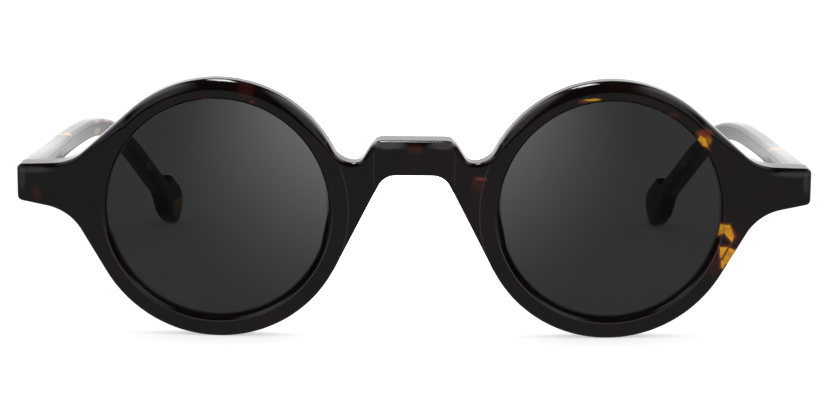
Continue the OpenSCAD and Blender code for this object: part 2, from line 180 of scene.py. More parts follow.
def web_and_bar(x, y, z, rim_y, radius):
    """Distance to the half of the web and the bar that lies beside one rim"""
    shoulder = side_of(x - BAR_HALF_WIDTH, z - BAR_TOP, pi / 2 - SHOULDER, 0)
    top = both(z - BAR_TOP, shoulder, BAR_CORNER, cos(SHOULDER))
    top = either(top, z - VALLEY_TOP, VALLEY_ROUND, cos(SHOULDER))
    top = either(top, radius - RIM_RADIUS, VALLEY_TURN, VALLEY_TOP / RIM_RADIUS)
    nose = side_of(x - lens_x, z, pi + NOSE_FLARE, RIM_RADIUS)
    under = either(BAR_TOP - BAR_HEIGHT - z, nose, UNDER_ROUND, sin(NOSE_FLARE))
    below_tangent = -side_of(x - lens_x, z, pi / 2 + NOSE_FLARE, 0)
    outline = np.maximum(np.maximum(top, under), np.maximum(below_tangent, x - lens_x))
    in_rim = np.maximum(RIM_RADIUS - WEB_OVERLAP - radius, z - VALLEY_TOP - VALLEY_TURN)
    web = plate(np.maximum(outline, in_rim), np.maximum(-y, -rim_y), y - WEB_DEPTH, z)
    bar = plate(outline, -BAR_PROUD - y, y + BAR_PROUD - BAR_DEPTH, z, BAR_TOP_ROUND)
    bar = both(bar, x - BAR_HALF_WIDTH, BAR_END_ROUND)
    return either(web, bar, CREASE_FILLET)


def flared(radius, depth, width, reach):
    """Distance outside a lens opening that flares by that width over that reach of depth"""
    return ((radius - OPENING_RADIUS - width) * reach + depth * width) / hypot(reach, width)


def front_distance(points):
    """Distance to the whole front, which is the same on both sides of the nose"""
    x, y, z = np.abs(points[0]), points[1], points[2]
    u = (x - lens_x) * cos(WRAP) + (y - RIM_SETBACK) * sin(WRAP)
    rim_y = (y - RIM_SETBACK) * cos(WRAP) - (x - lens_x) * sin(WRAP)
    rim, radius = rim_and_end_piece(u, rim_y, z)
    solid = either(rim, web_and_bar(x, y, z, rim_y, radius), CREASE_FILLET)
    bevel = flared(radius, rim_y, BEVEL_WIDTH, BEVEL_DEPTH)
    relief = flared(radius, RIM_DEPTH - rim_y, RELIEF_WIDTH, RELIEF_DEPTH)
    opening = np.minimum(np.minimum(radius - OPENING_RADIUS, bevel), relief)
    return both(solid, -opening, BEVEL_ROUND)


# The grid on which the surface is found, and how its vertices are then evened out
SKIN_STEP = 0.3
RELAX_ROUNDS = 4
RELAX_SHARE = 0.5


def settle(points, distance, rounds):
    """Moves points on to the surface where the distance is nothing"""
    nudge = 0.01
    least_slope = 0.25
    for _ in range(rounds):
        slope = np.stack([
            distance(points + nudge * axis[:, None]) - distance(points - nudge * axis[:, None])
            for axis in np.eye(3)]) / (2 * nudge)
        points = points - distance(points) * slope / np.maximum((slope ** 2).sum(0), least_slope)
    return points


def skin_over(distance, low, high, step):
    """Vertices and quads of the surface where a distance is nothing, one vertex to a cell"""
    axes = [np.arange(a, b + step, step) for a, b in zip(low, high)]
    field = distance(np.stack(np.meshgrid(*axes, indexing="ij")).astype(np.float32))
    inside = field < 0
    cells = [n - 1 for n in field.shape]
    total = np.zeros((3, *cells), np.float32)
    count = np.zeros(cells, np.float32)
    crossings = []
    # Each grid line that crosses the surface gives its crossing point to the four cells round it
    for axis in range(3):
        near = [slice(None)] * 3
        after = [slice(None)] * 3
        near[axis], after[axis] = slice(0, -1), slice(1, None)
        a, b = field[tuple(near)], field[tuple(after)]
        cut = inside[tuple(near)] != inside[tuple(after)]
        place = np.array(np.nonzero(cut))
        share = a[cut] / (a[cut] - b[cut])
        point = place.astype(np.float32)
        point[axis] += share
        crossings.append((axis, place, inside[tuple(near)][cut]))
        others = [k for k in range(3) if k != axis]
        for one in (0, 1):
            for two in (0, 1):
                cell = place.copy()
                cell[others[0]] -= one
                cell[others[1]] -= two
                ok = np.all([(cell[k] >= 0) & (cell[k] < cells[k]) for k in range(3)], axis=0)
                index = tuple(cell[:, ok])
                np.add.at(count, index, 1)
                for k in range(3):
                    np.add.at(total[k], index, point[k][ok])
    used = count > 0
    number = np.full(cells, -1)
    number[used] = np.arange(used.sum())
    points = np.stack([total[k][used] / count[used] * step + axes[k][0] for k in range(3)])
    # Each of those grid lines gets one quad round it
    quads = []
    for axis, place, solid_first in crossings:
        one, two = [(1, 2), (2, 0), (0, 1)][axis]
        corner = []
        for shift in ((1, 1), (0, 1), (0, 0), (1, 0)):
            cell = place.copy()
            cell[one] -= shift[0]
            cell[two] -= shift[1]
            corner.append(number[tuple(cell)])
        quad = np.stack(corner, axis=1)
        quads.append(np.where(solid_first[:, None], quad, quad[:, ::-1]))
    quads = np.concatenate(quads)
    points = settle(points.astype(np.float64), distance, 3)
    # The vertices are drawn towards their neighbours and put back on the surface
    for _ in range(RELAX_ROUNDS):
        middle = np.zeros_like(points)
        share = np.zeros(points.shape[1])
        for k in range(4):
            for n in (1, 3):
                np.add.at(share, quads[:, k], 1)
                for c in range(3):
                    np.add.at(middle[c], quads[:, k], points[c][quads[:, (k + n) % 4]])
        points = settle(points + RELAX_SHARE * (middle / share - points), distance, 2)
    return points.T, quads


def smooth_mesh(name, points, faces, matrix, material):
    """A smooth mesh from points in millimetres, moved into the row frame"""
    mesh = bpy.data.meshes.new(name)
    mesh.from_pydata([tuple(p) for p in points], [], [tuple(f) for f in faces])
    mesh.transform(matrix @ Matrix.Scale(MM, 4))
    mesh.polygons.foreach_set("use_smooth", [True] * len(mesh.polygons))
    mesh.materials.append(material)
    return mesh


def dress(name, mesh, slot, body, *nodes):
    """Shows a mesh in the place of its CAD nodes"""
    piece = bpy.data.objects.new(name, mesh)
    bpy.context.scene.collection.objects.link(piece)
    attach(piece, body)
    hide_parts(*nodes)


def put(tree, kind, inputs=(), **settings):
    """Adds one node, with its settings and inputs, each a value or another node's output"""
    node = tree.nodes.new(kind)
    for name, value in settings.items():
        setattr(node, name, value)
    for key, value in dict(inputs).items():
        if isinstance(value, bpy.types.NodeSocket):
            tree.links.new(value, node.inputs[key])
        else:
            node.inputs[key].default_value = value
    return node


def sum_of(tree, operation, *values):
    """One Math node's result"""
    return put(tree, "ShaderNodeMath", dict(enumerate(values)), operation=operation).outputs[0]


def product(tree, *values):
    """All the values multiplied together"""
    result = values[0]
    for value in values[1:]:
        result = sum_of(tree, "MULTIPLY", result, value)
    return result


def vector_of(tree, operation, *values):
    """One Vector Math node's vector"""
    return put(tree, "ShaderNodeVectorMath", dict(enumerate(values)), operation=operation).outputs["Vector"]


def number_of(tree, operation, *values):
    """The number that one Vector Math node gives"""
    return put(tree, "ShaderNodeVectorMath", dict(enumerate(values)), operation=operation).outputs["Value"]


def noise(tree, place, scale, detail, output="Fac"):
    """A cloudy pattern, with that many blotches to a unit of length"""
    inputs = {"Vector": place, "Scale": scale, "Detail": detail}
    return put(tree, "ShaderNodeTexNoise", inputs).outputs[output]


def ramp(tree, value, start, end, low=0.0, high=1.0):
    """A smooth rise from low to high as the value goes from start to end"""
    return put(tree, "ShaderNodeMapRange",
               {"Value": value, "From Min": start, "From Max": end, "To Min": low, "To Max": high},
               interpolation_type="SMOOTHSTEP").outputs[0]


def mixed(tree, share, below, above):
    """A colour over another colour"""
    node = put(tree, "ShaderNodeMix", {"Factor": share}, data_type="RGBA")
    for key, value in (("A_Color", below), ("B_Color", above)):
        socket = next(s for s in node.inputs if s.identifier == key)
        if isinstance(value, bpy.types.NodeSocket):
            tree.links.new(value, socket)
        else:
            socket.default_value = (*value, 1)
    return next(s for s in node.outputs if s.identifier == "Result_Color")


def new_material(name):
    """An empty Principled material, its tree and its shader"""
    material = bpy.data.materials.new(name)
    material.use_nodes = True
    return material, material.node_tree, material.node_tree.nodes["Principled BSDF"]


def place_in_mm(tree):
    """Object coordinates, which are the row frame's, in millimetres"""
    place = put(tree, "ShaderNodeTexCoord").outputs["Object"]
    return put(tree, "ShaderNodeVectorMath", {0: place, "Scale": 1 / MM}, operation="SCALE").outputs[0]


def behind_face(tree, place):
    """How far a point lies behind the tilted plane of the front"""
    depth = number_of(tree, "DOT_PRODUCT", place, (0, cos(TILT), sin(TILT)))
    return sum_of(tree, "SUBTRACT", depth, front_y * cos(TILT) + front_z * sin(TILT))


def round_the_lens(tree, place):
    """How far a point lies out from the middle of the nearer lens, up from it, and both together"""
    out = put(tree, "ShaderNodeSeparateXYZ", {"Vector": place}).outputs["X"]
    out = sum_of(tree, "SUBTRACT", sum_of(tree, "ABSOLUTE", out), lens_x)
    up = number_of(tree, "DOT_PRODUCT", place, (0, -sin(TILT), cos(TILT)))
    up = sum_of(tree, "SUBTRACT", up, front_z * cos(TILT) - front_y * sin(TILT))
    radius = put(tree, "ShaderNodeCombineXYZ", {"X": out, "Z": up}).outputs[0]
    return out, up, number_of(tree, "LENGTH", radius)


ACETATE_DARK = (0.0042, 0.0022, 0.0019)
ACETATE_BROWN = (0.0075, 0.0030, 0.0023)
AMBER = (0.66, 0.25, 0.010)
HONEY = (0.86, 0.43, 0.015)
RED = (0.085, 0.012, 0.008)
RUST = (0.26, 0.050, 0.016)
# A pale grey painted in as sheen, where polished edges catch light
PAINTED_SHEEN = (0.095, 0.088, 0.086)
# The tone of the painted highlight lines along the creases and the bevel
PAINTED_HIGHLIGHT_TONE = (0.055, 0.050, 0.048)
ACETATE_IOR = 1.49
CHIP_SCALE = 0.16
CHIP_SIZE = 0.55
EDGE_SHAKE = 0.4


def acetate(name, flecks, marks=None, from_depth=None):
    """Polished dark tortoiseshell acetate: a brown-black ground, with an amber chip in that share of
    its cells, all over or from some depth behind the face of the front"""
    material, tree, shader = new_material(name)
    place = place_in_mm(tree)
    # The ground: two browns in broad clouds
    cloud = {"Vector": place, "Scale": 0.11, "Detail": 3.0, "Distortion": 0.8}
    cloud = put(tree, "ShaderNodeTexNoise", cloud).outputs["Fac"]
    colour = mixed(tree, ramp(tree, cloud, 0.42, 0.66), ACETATE_DARK, ACETATE_BROWN)

    # The chips: cells with shaken edges, of which some are picked and sized by their own random tone,
    # each with a rusty halo round an amber core
    shift = vector_of(tree, "SUBTRACT", noise(tree, place, 0.7, 3.0, "Color"), (0.5, 0.5, 0.5))
    chipped = vector_of(tree, "MULTIPLY_ADD", shift, (EDGE_SHAKE, EDGE_SHAKE, EDGE_SHAKE), place)
    chips = put(tree, "ShaderNodeTexVoronoi", {"Vector": chipped, "Scale": CHIP_SCALE, "Randomness": 1.0})
    tone = put(tree, "ShaderNodeSeparateColor", {"Color": chips.outputs["Color"]}).outputs
    size = ramp(tree, tone[0], 1 - flecks, 1, 0.0, CHIP_SIZE)
    reach = sum_of(tree, "ADD", size, ramp(tree, noise(tree, place, 0.32, 2.0), 0.3, 0.7, -0.22, 0.14))
    reach = sum_of(tree, "SUBTRACT", reach, chips.outputs["Distance"])
    picked = sum_of(tree, "GREATER_THAN", tone[0], 1 - flecks)
    if from_depth is not None:
        picked = product(tree, picked, ramp(tree, behind_face(tree, place), from_depth, from_depth + 0.5))
    halo = product(tree, ramp(tree, reach, -0.16, 0.04, 0.0, 0.75), picked)
    core = product(tree, ramp(tree, reach, 0.0, 0.08), picked)
    colour = mixed(tree, halo, colour, RUST)
    colour = mixed(tree, core, colour, mixed(tree, tone[1], AMBER, HONEY))
    if marks is not None:
        colour = marks(tree, place, chipped, colour)
    tree.links.new(colour, shader.inputs["Base Color"])

    # The polish: a faint unevenness in its gloss and a faint ripple
    dull = ramp(tree, noise(tree, place, 0.5, 4.0), 0.3, 0.7, 0.07, 0.12)
    tree.links.new(dull, shader.inputs["Roughness"])
    ripple = noise(tree, place, 0.16, 1.0)
    bump = put(tree, "ShaderNodeBump", {"Strength": 0.05, "Distance": 0.4 * MM, "Height": ripple})
    tree.links.new(bump.outputs[0], shader.inputs["Normal"])
    shader.inputs["IOR"].default_value = ACETATE_IOR
    return material


def glow(tree, flat, colour, middle, half, tint, strength):
    """A soft patch, as a chip shows that lies a little below the surface, or as a painted sheen"""
    across = product(tree, sum_of(tree, "SUBTRACT", flat[0], middle[0]), 1 / half[0])
    up = product(tree, sum_of(tree, "SUBTRACT", flat[1], middle[1]), 1 / half[1])
    far = number_of(tree, "LENGTH", put(tree, "ShaderNodeCombineXYZ", {"X": across, "Z": up}).outputs[0])
    return mixed(tree, ramp(tree, far, 1.35, 0.45, 0.0, strength), colour, tint)


def beyond_outline(tree, flat, corners):
    """Distance beyond the sides of a convex outline, given clockwise"""
    deep_inside = -100.0
    beyond = deep_inside
    for (x0, z0), (x1, z1) in zip(corners, corners[1:] + corners[:1]):
        side = Vector((z0 - z1, x1 - x0)).normalized()
        away = sum_of(tree, "ADD", product(tree, flat[0], side.x), product(tree, flat[1], side.y))
        beyond = sum_of(tree, "MAXIMUM", sum_of(tree, "SUBTRACT", away, side.x * x0 + side.y * z0), beyond)
    return beyond


# The bright flecks of the photographed plate, as convex outlines that run into each other within
# a group, in millimetres from the middle of the front
FLECK_GROUPS = [
    [[(53.9, -2.2), (55.5, -2.2), (55.9, -3.2), (54.75, -3.75), (53.7, -4.6), (53.6, -3.4)],
     [(54.5, -2.2), (55.6, -2.2), (56.6, -4.3), (56.1, -5.4), (54.3, -3.2)]],
    [[(54.0, -6.2), (55.5, -6.3), (54.4, -8.4), (54.1, -8.0)]],
    [[(55.75, -6.4), (56.9, -7.0), (55.7, -9.3), (54.9, -9.5), (54.65, -8.5)],
     [(54.3, -8.6), (55.3, -8.9), (54.9, -10.2), (54.3, -9.9)]],
    [[(50.0, 13.9), (51.1, 13.2), (51.4, 11.6), (50.3, 12.0), (49.6, 13.1)]],
]
# Soft glows, each with its middle, its half sizes, its colour and its strength. The last ones are
# painted sheen, a pale grey painted where the rolled edges of the bar and the end pieces catch light.
FLECK_AND_SHEEN_GLOWS = [
    ((53.2, -9.8), (1.1, 2.0), RED, 0.30),
    ((57.0, -4.6), (0.7, 1.3), RED, 0.35),
    ((50.7, 14.2), (1.5, 0.7), RUST, 0.55),
    ((49.6, 12.2), (0.7, 0.9), RUST, 0.5),
    ((51.3, 12.9), (0.8, 0.8), AMBER, 0.5),
    ((30.9, 20.15), (1.5, 0.24), HONEY, 0.8),
    ((29.6, 19.9), (1.2, 0.35), RUST, 0.45),
    ((45.0, 17.3), (1.2, 0.6), RUST, 0.14),
    ((11.6, 6.1), (1.1, 0.32), RUST, 0.8),
    ((11.2, 5.2), (1.3, 1.6), RED, 0.38),
    ((-29.4, 21.5), (1.5, 1.6), RED, 0.30),
    ((-36.2, 19.75), (0.8, 0.2), RUST, 0.45),
    ((-28.3, 19.55), (0.5, 0.2), RUST, 0.4),
    ((-66.4, 2.5), (0.9, 1.4), RED, 0.26),
    ((0.1, 11.5), (1.5, 1.0), RED, 0.34),
    ((-4.6, 12.1), (3.0, 0.7), PAINTED_SHEEN, 0.8),
    ((4.8, 12.1), (2.4, 0.7), PAINTED_SHEEN, 0.6),
    ((-67.3, 6.8), (3.6, 0.55), PAINTED_SHEEN, 0.35),
    ((67.0, 6.8), (4.0, 0.55), PAINTED_SHEEN, 0.4),
    ((-69.0, 5.3), (0.55, 2.2), PAINTED_SHEEN, 0.25),
    ((69.0, 5.3), (0.55, 2.2), PAINTED_SHEEN, 0.3),
]


def front_marks(tree, place, chipped, colour):
    """The placed flecks, a painted sheen on the bar and the end pieces, and fine pale lines of painted
    highlight where the creases and the bevel would catch light
    """
    flat = put(tree, "ShaderNodeSeparateXYZ", {"Vector": chipped}).outputs
    flat = (flat["X"], sum_of(tree, "SUBTRACT", flat["Z"], front_z))
    # Chips below the surface, and the painted sheen on the bar and the end pieces
    for middle, half, tint, strength in FLECK_AND_SHEEN_GLOWS:
        colour = glow(tree, flat, colour, middle, half, tint, strength)
    honey = mixed(tree, ramp(tree, noise(tree, place, 0.9, 2.0), 0.35, 0.65), AMBER, HONEY)
    for group in FLECK_GROUPS:
        beyond = beyond_outline(tree, flat, group[0])
        for corners in group[1:]:
            beyond = sum_of(tree, "MINIMUM", beyond, beyond_outline(tree, flat, corners))
        colour = mixed(tree, ramp(tree, beyond, 0.55, 0.05, 0.0, 0.6), colour, RUST)
        colour = mixed(tree, ramp(tree, beyond, 0.07, -0.12), colour, honey)

    out, up, radius = round_the_lens(tree, place)
    forward = ramp(tree, behind_face(tree, place), 3.6, 3.2)

    def painted_highlight_line(colour, across, middle, half_width, strength, *limits):
        """A fine pale line of painted highlight on the forward part of the front, which fades out at its
        limits
        """
        away = sum_of(tree, "ABSOLUTE", sum_of(tree, "SUBTRACT", across, middle))
        share = ramp(tree, away, half_width, half_width / 4, 0.0, strength)
        return mixed(tree, product(tree, share, forward, *limits), colour, PAINTED_HIGHLIGHT_TONE)

    # Painted highlight lines: round the lower half of the bevel, down the nasal side of each rim, and at
    # the ends of the bar
    colour = painted_highlight_line(colour, radius, OPENING_RADIUS + BEVEL_WIDTH + 0.12, 0.14, 1.0,
                  ramp(tree, up, 2.0, -9.0))
    colour = painted_highlight_line(colour, radius, RIM_RADIUS, 0.15, 0.55, ramp(tree, out, -18.0, -20.5),
                  ramp(tree, up, -10.0, -5.0), ramp(tree, up, 9.0, 7.5))
    return painted_highlight_line(colour, sum_of(tree, "ADD", out, lens_x), BAR_HALF_WIDTH + 0.1, 0.14, 0.35,
                ramp(tree, up, 3.5, 6.0), ramp(tree, up, 12.0, 10.5))


front_acetate = acetate("front_acetate", 0.10, front_marks, 5.6)
half_x, half_z, margin = FRONT_WIDTH / 2, RIM_RADIUS, 1.0
points, quads = skin_over(
    front_distance,
    (-half_x - margin, -BAR_PROUD - margin, -half_z - margin),
    (half_x + margin, RIM_DEPTH + RIM_SETBACK + END_DEPTH + margin, half_z + margin), SKIN_STEP)
front_mesh = smooth_mesh("acetate_front", points, quads, front_to_row, front_acetate)
dress("acetate_front", front_mesh, "acetate", "front", "front_frame")


# The two lenses are grey tinted plastic, gently curved, with a V edge all round that is
# snapped into the groove of the rim. They show the white room behind as a dark grey.
LENS_DEPTH = 1.8
LENS_CURVE = 260.0
LENS_SETBACK = 0.8
GROOVE_DEPTH = 0.6
GROOVE_HALF_WIDTH = 0.6
SEAT_GAP = 0.04
LENS_RINGS = 16
LENS_SEGMENTS = 160
LENS_CENTRE = 0.02
LENS_IOR = 1.2
TINT = (0.0250, 0.0250, 0.0252)
# The near black of the painted shade round the lower edge of each lens
PAINTED_EDGE_SHADE = (0.0004, 0.0004, 0.0004)
SIDES = (("left", 1), ("right", -1))


def rim_to_row(side):
    """From one rim's own plane to the row frame, with the other rim as its mirror"""
    mirror = Matrix.Scale(side, 4, (1, 0, 0))
    turn = Matrix.Translation((lens_x * MM, RIM_SETBACK * MM, 0)) @ Matrix.Rotation(WRAP, 4, "Z")
    return front_to_row @ mirror @ turn


def tube_over(rings, turned):
    """Vertices and faces over rings of points, closed at both ends, with the faces turned round where
    they would look inwards"""
    count = len(rings[0])
    faces = [list(range(count))[::-1], [len(rings) * count - 1 - k for k in range(count)][::-1]]
    for i in range(len(rings) - 1):
        for k in range(count):
            near, after = i * count + k, i * count + (k + 1) % count
            faces.append([near, after, after + count, near + count])
    if turned:
        faces = [face[::-1] for face in faces]
    return [p for ring in rings for p in ring], faces


def lens_profile():
    """Radius and depth of the lens from the middle of its face to the middle of its back"""
    edge = OPENING_RADIUS - SEAT_GAP
    vee = GROOVE_HALF_WIDTH - SEAT_GAP
    middle = LENS_SETBACK + LENS_DEPTH / 2
    radii = [edge * (i + LENS_CENTRE) / (LENS_RINGS + LENS_CENTRE) for i in range(LENS_RINGS + 1)]
    drop = [sqrt(LENS_CURVE ** 2 - r * r) - sqrt(LENS_CURVE ** 2 - edge * edge) for r in radii]
    face = [(r, LENS_SETBACK - d) for r, d in zip(radii, drop)]
    rear = [(r, LENS_SETBACK + LENS_DEPTH - d) for r, d in zip(radii, drop)]
    edge_line = [(edge, middle - vee), (edge + GROOVE_DEPTH, middle), (edge, middle + vee)]
    return face + edge_line + rear[::-1]


def grey_tint():
    """Clear grey plastic, with a painted shade: a dark ring round the lower part of its edge, where the
    groove's shade and the rim would show through the edge
    """
    material, tree, shader = new_material("grey_tint")
    _, up, radius = round_the_lens(tree, place_in_mm(tree))
    # Painted shade: a dark ring at the edge of the lens, over its lower part
    ring = product(tree, ramp(tree, radius, 19.1, 19.6), ramp(tree, up, 6.0, -4.0))
    tree.links.new(mixed(tree, ring, TINT, PAINTED_EDGE_SHADE), shader.inputs["Base Color"])
    shader.inputs["Transmission Weight"].default_value = 1.0
    shader.inputs["Roughness"].default_value = 0.0
    shader.inputs["IOR"].default_value = LENS_IOR
    return material


lens_tint = grey_tint()
lens_rings = [[(r * cos(2 * pi * k / LENS_SEGMENTS), y, r * sin(2 * pi * k / LENS_SEGMENTS))
               for k in range(LENS_SEGMENTS)] for r, y in lens_profile()]
for name, side in SIDES:
    points, faces = tube_over(lens_rings, side > 0)
    mesh = smooth_mesh("tinted_lens_" + name, points, faces, rim_to_row(side), lens_tint)
    mesh.set_sharp_from_angle(angle=radians(25))
    dress("tinted_lens_" + name, mesh, "lens", "front", "lens_" + name)


# Two small nose pads of the same acetate are bonded behind the rims, beside the nose.
# Each is a low crest along the rim that leans outwards and runs out softly at both ends.
PAD_HEIGHT = 12.0
PAD_REACH = 4.6
PAD_WIDTH = 3.6
PAD_SPLAY = 1.6
PAD_DROP = 4.6
PAD_SINK = 0.35
PAD_TAPER = 0.22
PAD_SWELL = 1.1
PAD_LEAST = 0.02
PAD_STATIONS = 48
PAD_SIDES = 28

pad_acetate = acetate("pad_acetate", 0.02)
foot_radius = RIM_RADIUS - PAD_WIDTH / 2
pad_middle = pi + asin(PAD_DROP / foot_radius)
pad_rings = []
for i in range(PAD_STATIONS + 1):
    share = -cos(pi * i / PAD_STATIONS)
    angle = pad_middle + share * PAD_HEIGHT / 2 / foot_radius
    rise = max(PAD_LEAST, (1 - share ** 4) ** 0.5 * (1 - share ** 2) ** 0.25)
    width = max(PAD_LEAST, (1 - share ** 2) ** 0.5)
    ring = []
    for k in range(PAD_SIDES):
        turn = 2 * pi * k / PAD_SIDES
        up = (1 + sin(turn)) / 2
        across = cos(turn) * PAD_WIDTH / 2 * width * (1 - PAD_TAPER * up)
        depth = RIM_DEPTH - PAD_SINK + up ** PAD_SWELL * (PAD_REACH + PAD_SINK) * rise
        radius = foot_radius + across - PAD_SPLAY * up * rise
        ring.append((radius * cos(angle), depth, radius * sin(angle)))
    pad_rings.append(ring)
for name, side in SIDES:
    points, faces = tube_over(pad_rings, side < 0)
    mesh = smooth_mesh("pad_" + name, points, faces, rim_to_row(side), pad_acetate)
    dress("pad_" + name, mesh, "acetate", "front", "nose_pad_" + name)


# Each temple is a bent acetate arm with softly rounded edges. It tapers behind the hinge, bows
# inwards, bends down over the ear and ends in a paddle with a round bump on top.
# A tree of geometry nodes sweeps its section along the middle line.
HINGE = Vector(frame["joints"][0]["pos_m"]) / MM
HINGE_SETBACK = 2.0
ROOT_LEAD = 2.0
JOINT_GAP = 0.15
TEMPLE_INSET = 0.2
TEMPLE_SIZES = {
    "Length": 139.0, "Root height": 6.3, "Arm height": 3.6, "Root thickness": 4.0,
    "Arm thickness": 3.5, "Taper": 45.0, "Bow": radians(17), "Bow start": 18.0, "Bow run": 120.0,
    "Bend": radians(31.855), "Bend start": 64.0, "Bend run": 53.0, "Tip length": 13.0,
    "Bump": 2.5, "Bump run": 2.6, "Drop": 2.7, "Drop lead": 2.0, "Drop run": 7.0,
    "End round": 6.5, "Squareness": 0.5, "Crowding": 0.85, "Stations": 300, "Sides": 64,
}


def new_tree(name, sizes):
    """A geometry tree with a named input for each size, its group node and its output"""
    tree = bpy.data.node_groups.new(name, "GeometryNodeTree")
    tree.interface.new_socket("Geometry", in_out="OUTPUT", socket_type="NodeSocketGeometry")
    for key, value in sizes.items():
        kind = "NodeSocketInt" if isinstance(value, int) else "NodeSocketFloat"
        tree.interface.new_socket(key, in_out="INPUT", socket_type=kind).default_value = value
    tree.interface.new_socket("Material", in_out="INPUT", socket_type="NodeSocketMaterial")
    return tree, tree.nodes.new("NodeGroupInput").outputs, tree.nodes.new("NodeGroupOutput").inputs


def temple_tree():
    """The geometry tree that sweeps one arm, from its hinge end at the origin back along +Y"""
    tree, size, result = new_tree("temple_arm", TEMPLE_SIZES)

    def add(a, b):
        return sum_of(tree, "ADD", a, b)

    def less(a, b):
        return sum_of(tree, "SUBTRACT", a, b)

    def times(a, b):
        return sum_of(tree, "MULTIPLY", a, b)

    def rise(value, start, run):
        return ramp(tree, value, start, add(start, run))

    def station(index):
        """Distance along the arm, with the stations crowded together near the tip"""
        share = sum_of(tree, "DIVIDE", index, less(size["Stations"], 1.0))
        spread = add(1.0, times(size["Crowding"], less(1.0, share)))
        return times(size["Length"], times(share, spread))

    def vector(x, y, z):
        return put(tree, "ShaderNodeCombineXYZ", {0: x, 1: y, 2: z}).outputs[0]

    def scaled(direction, by):
        return put(tree, "ShaderNodeVectorMath", {0: direction, "Scale": by}, operation="SCALE").outputs[0]

    def directions(s):
        """Along, out of and up from the arm at one distance along it"""
        bow = times(size["Bow"], rise(s, size["Bow start"], size["Bow run"]))
        bend = times(size["Bend"], rise(s, size["Bend start"], size["Bend run"]))
        in_x, in_y = times(-1.0, sum_of(tree, "SINE", bow)), sum_of(tree, "COSINE", bow)
        level, dip = sum_of(tree, "COSINE", bend), sum_of(tree, "SINE", bend)
        along = vector(times(in_x, level), times(in_y, level), times(-1.0, dip))
        upward = vector(times(in_x, dip), times(in_y, dip), level)
        return along, vector(in_y, times(-1.0, in_x), 0.0), upward

    def squared(value):
        """A sine or cosine drawn out towards a square's"""
        raised = sum_of(tree, "POWER", sum_of(tree, "ABSOLUTE", value), size["Squareness"])
        return times(sum_of(tree, "SIGN", value), raised)

    def storing(geometry, name, value, kind="FLOAT"):
        inputs = {"Geometry": geometry, "Name": name, "Value": value}
        return put(tree, "GeometryNodeStoreNamedAttribute", inputs, data_type=kind).outputs[0]

    def stored(name, kind="FLOAT"):
        node = put(tree, "GeometryNodeInputNamedAttribute", {"Name": name}, data_type=kind)
        return next(s for s in node.outputs if s.name == "Attribute" and s.enabled)

    # The middle line: each station adds one step to the steps before it
    index = put(tree, "GeometryNodeInputIndex").outputs[0]
    here, after = station(index), station(add(index, 1.0))
    step = scaled(directions(times(add(here, after), 0.5))[0], less(after, here))
    middle = put(tree, "GeometryNodeAccumulateField", {"Value": step}, data_type="FLOAT_VECTOR")
    middle = next(s for s in middle.outputs if s.name == "Trailing" and s.enabled)
    line = put(tree, "GeometryNodeMeshLine", {"Count": size["Stations"]}).outputs[0]
    line = put(tree, "GeometryNodeMeshToCurve", {"Mesh": line}).outputs[0]
    line = storing(storing(line, "middle", middle, "FLOAT_VECTOR"), "station", here)
    ring = put(tree, "GeometryNodeCurvePrimitiveCircle", {"Resolution": size["Sides"]}).outputs[0]
    ring = storing(ring, "turn", times(2 * pi, sum_of(tree, "DIVIDE", add(index, 0.5), size["Sides"])))
    sweep = {"Curve": line, "Profile Curve": ring, "Fill Caps": True}
    skin = put(tree, "GeometryNodeCurveToMesh", sweep).outputs[0]

    # The section: half sizes that taper, swell into the paddle and close at the end
    s, turn, middle = stored("station"), stored("turn"), stored("middle", "FLOAT_VECTOR")
    _, outward, upward = directions(s)
    taper = rise(s, 0.0, size["Taper"])

    def tapered(root, arm):
        return times(0.5, add(size[root], times(less(size[arm], size[root]), taper)))

    round_start = less(size["Length"], size["End round"])
    past = sum_of(tree, "MAXIMUM", 0.0, sum_of(tree, "DIVIDE", less(s, round_start), size["End round"]))
    closing = sum_of(tree, "SQRT", sum_of(tree, "MAXIMUM", 0.0004, less(1.0, times(past, past))))
    tip_start = less(size["Length"], size["Tip length"])
    half_height = tapered("Root height", "Arm height")
    bump = times(size["Bump"], rise(s, tip_start, size["Bump run"]))
    drop = times(size["Drop"], rise(s, less(tip_start, size["Drop lead"]), size["Drop run"]))
    sine, cosine = sum_of(tree, "SINE", turn), sum_of(tree, "COSINE", turn)
    above = sum_of(tree, "GREATER_THAN", sine, 0.0)
    swell = add(times(above, bump), times(less(1.0, above), drop))
    height = times(times(squared(sine), add(half_height, swell)), closing)
    width = times(times(squared(cosine), tapered("Root thickness", "Arm thickness")), closing)
    offset = vector_of(tree, "ADD", scaled(outward, width), scaled(upward, height))
    place = vector_of(tree, "ADD", middle, offset)
    skin = put(tree, "GeometryNodeSetPosition", {"Geometry": skin, "Position": place}).outputs[0]
    skin = put(tree, "GeometryNodeSetShadeSmooth", {"Geometry": skin}).outputs[0]
    skin = put(tree, "GeometryNodeRealizeInstances", {"Geometry": skin}).outputs[0]
    skin = put(tree, "GeometryNodeSetMaterial", {"Geometry": skin, "Material": size["Material"]}).outputs[0]
    tree.links.new(skin, result[0])
    return tree


def grown(name, tree, material):
    """The plain mesh that a geometry tree makes"""
    holder = bpy.data.objects.new(name, bpy.data.meshes.new(name))
    bpy.context.scene.collection.objects.link(holder)
    modifier = holder.modifiers.new(name, "NODES")
    modifier.node_group = tree
    for item in tree.interface.items_tree:
        if item.item_type == "SOCKET" and item.name == "Material":
            modifier[item.identifier] = material
    shown = holder.evaluated_get(bpy.context.evaluated_depsgraph_get())
    mesh = bpy.data.meshes.new_from_object(shown)
    bpy.data.objects.remove(holder)
    return mesh


